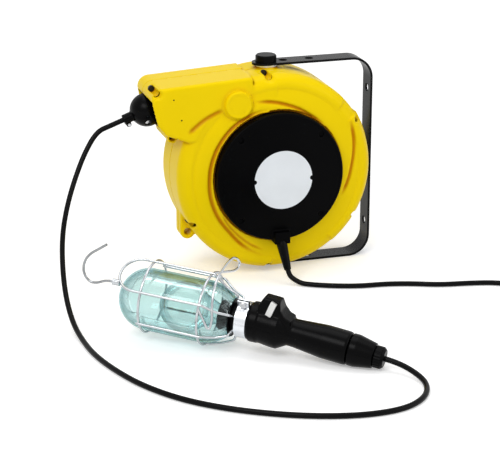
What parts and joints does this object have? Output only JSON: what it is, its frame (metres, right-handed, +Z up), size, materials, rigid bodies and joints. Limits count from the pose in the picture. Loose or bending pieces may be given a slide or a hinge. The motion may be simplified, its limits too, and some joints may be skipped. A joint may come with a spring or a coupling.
{
  "type": "extension cord reel",
  "caption": "Spring-driven extension cord reel in a round casing on a swivel bracket, with a caged hand lamp on its outlet cord and a supply cord with a plug.",
  "frame": {"origin": "on the floor, under the bracket's lower arm, on the swivel axis", "axes": "+X from the swivel axis to the bracket's mounting leg, +Y away from the contact cover, +Z up along the swivel axis"},
  "size_m": [0.7809, 0.5466, 0.2764],
  "materials": {
    "yellow_plastic": "glossy",
    "black_plastic": "satin",
    "grey_plastic": "satin",
    "white_plastic": "satin",
    "black_steel": "satin",
    "steel": "satin",
    "zinc_wire": "bright",
    "spring_steel": "satin",
    "brass": "satin",
    "carbon": "matt",
    "black_rubber": "matt",
    "cable_jacket": "satin",
    "clear_glass": "clear",
    "bulb_glass": "clear"
  },
  "bodies": {
    "casing": {"front_shell": "yellow_plastic", "rear_shell": "yellow_plastic", "contact_cover": "black_plastic", "rating_label": "white_plastic", "cover_screws": "steel", "casing_screws": "steel", "feed_strain_relief": "black_rubber", "feed_cable": "cable_jacket", "feed_cable_coil": "cable_jacket", "feed_cable_end": "cable_jacket", "plug_body": "black_plastic", "plug_pins": "brass", "pivot_knob": "black_plastic", "pivot_pin_upper": "steel", "pivot_pin_lower": "steel", "pivot_screw": "steel", "pivot_washers": "steel", "axle": "steel", "axle_nut": "steel", "brush_holder": "black_plastic", "brushes": "carbon", "brush_springs": "spring_steel", "terminal_block": "white_plastic", "terminal_screws": "brass", "main_spring": "spring_steel", "pawl_pin": "steel", "pawl_spring": "spring_steel", "mouth_guide": "black_plastic", "roller_pins": "steel", "ball_stop_front": "black_rubber", "ball_stop_rear": "black_rubber", "ball_stop_screws": "steel", "inner_lead": "cable_jacket", "outlet_cable": "cable_jacket", "lamp_handle": "black_rubber", "handle_boot": "black_rubber", "gland_nut": "black_plastic", "lamp_holder": "black_plastic", "lamp_socket": "white_plastic", "clamp_band": "steel", "clamp_screw": "steel", "cage": "zinc_wire", "glass_dome": "clear_glass", "bulb_glass": "bulb_glass", "bulb_cap": "brass"},
    "bracket": {"bracket": "black_steel"},
    "drum": {"drum": "grey_plastic", "spring_cap": "grey_plastic", "cable_winding": "cable_jacket", "slip_ring_carrier": "black_plastic", "slip_rings": "brass", "ratchet_wheel": "grey_plastic"},
    "roller_upper": {"guide_roller_upper": "grey_plastic"},
    "roller_lower": {"guide_roller_lower": "grey_plastic"},
    "roller_front": {"guide_roller_front": "grey_plastic"},
    "roller_back": {"guide_roller_back": "grey_plastic"},
    "pawl": {"pawl": "steel"},
    "switch_rocker": {"switch_rocker": "white_plastic"},
    "hook": {"hook": "zinc_wire"}
  },
  "joints": [
    {"name": "bracket_swivel", "type": "hinge", "parent": "casing", "child": "bracket", "pos_m": [0, 0, 0.1338], "axis": [0, 0, 1], "range_deg": [-45, 150]},
    {"name": "drum_spin", "type": "hinge", "parent": "casing", "child": "drum", "pos_m": [0, 0, 0.1338], "axis": [0, 1, 0], "continuous": true},
    {"name": "pawl_pivot", "type": "hinge", "parent": "casing", "child": "pawl", "pos_m": [-0.06014, 0, 0.11191], "axis": [0, -1, 0], "range_deg": [0, 14], "stiffness_Nm_per_rad": 0.01},
    {"name": "switch_rocker_tilt", "type": "hinge", "parent": "casing", "child": "switch_rocker", "pos_m": [-0.08655, -0.30237, 0.05979], "axis": [-0.7267, 0.5456, 0.4174], "range_deg": [0, 12]},
    {"name": "hook_swivel", "type": "hinge", "parent": "casing", "child": "hook", "pos_m": [-0.26081, -0.19804, 0.07669], "axis": [0.7973, -0.5986, -0.0772], "continuous": true},
    {"name": "roller_upper_spin", "type": "hinge", "parent": "casing", "child": "roller_upper", "pos_m": [-0.13254, 0, 0.23987], "axis": [0, 1, 0], "continuous": true},
    {"name": "roller_lower_spin", "type": "hinge", "parent": "casing", "child": "roller_lower", "pos_m": [-0.12296, 0, 0.21356], "axis": [0, 1, 0], "continuous": true},
    {"name": "roller_front_spin", "type": "hinge", "parent": "casing", "child": "roller_front", "pos_m": [-0.1114, -0.0114, 0.23267], "axis": [-0.342, 0, 0.9397], "continuous": true},
    {"name": "roller_back_spin", "type": "hinge", "parent": "casing", "child": "roller_back", "pos_m": [-0.1114, 0.0114, 0.23267], "axis": [-0.342, 0, 0.9397], "continuous": true}
  ]
}
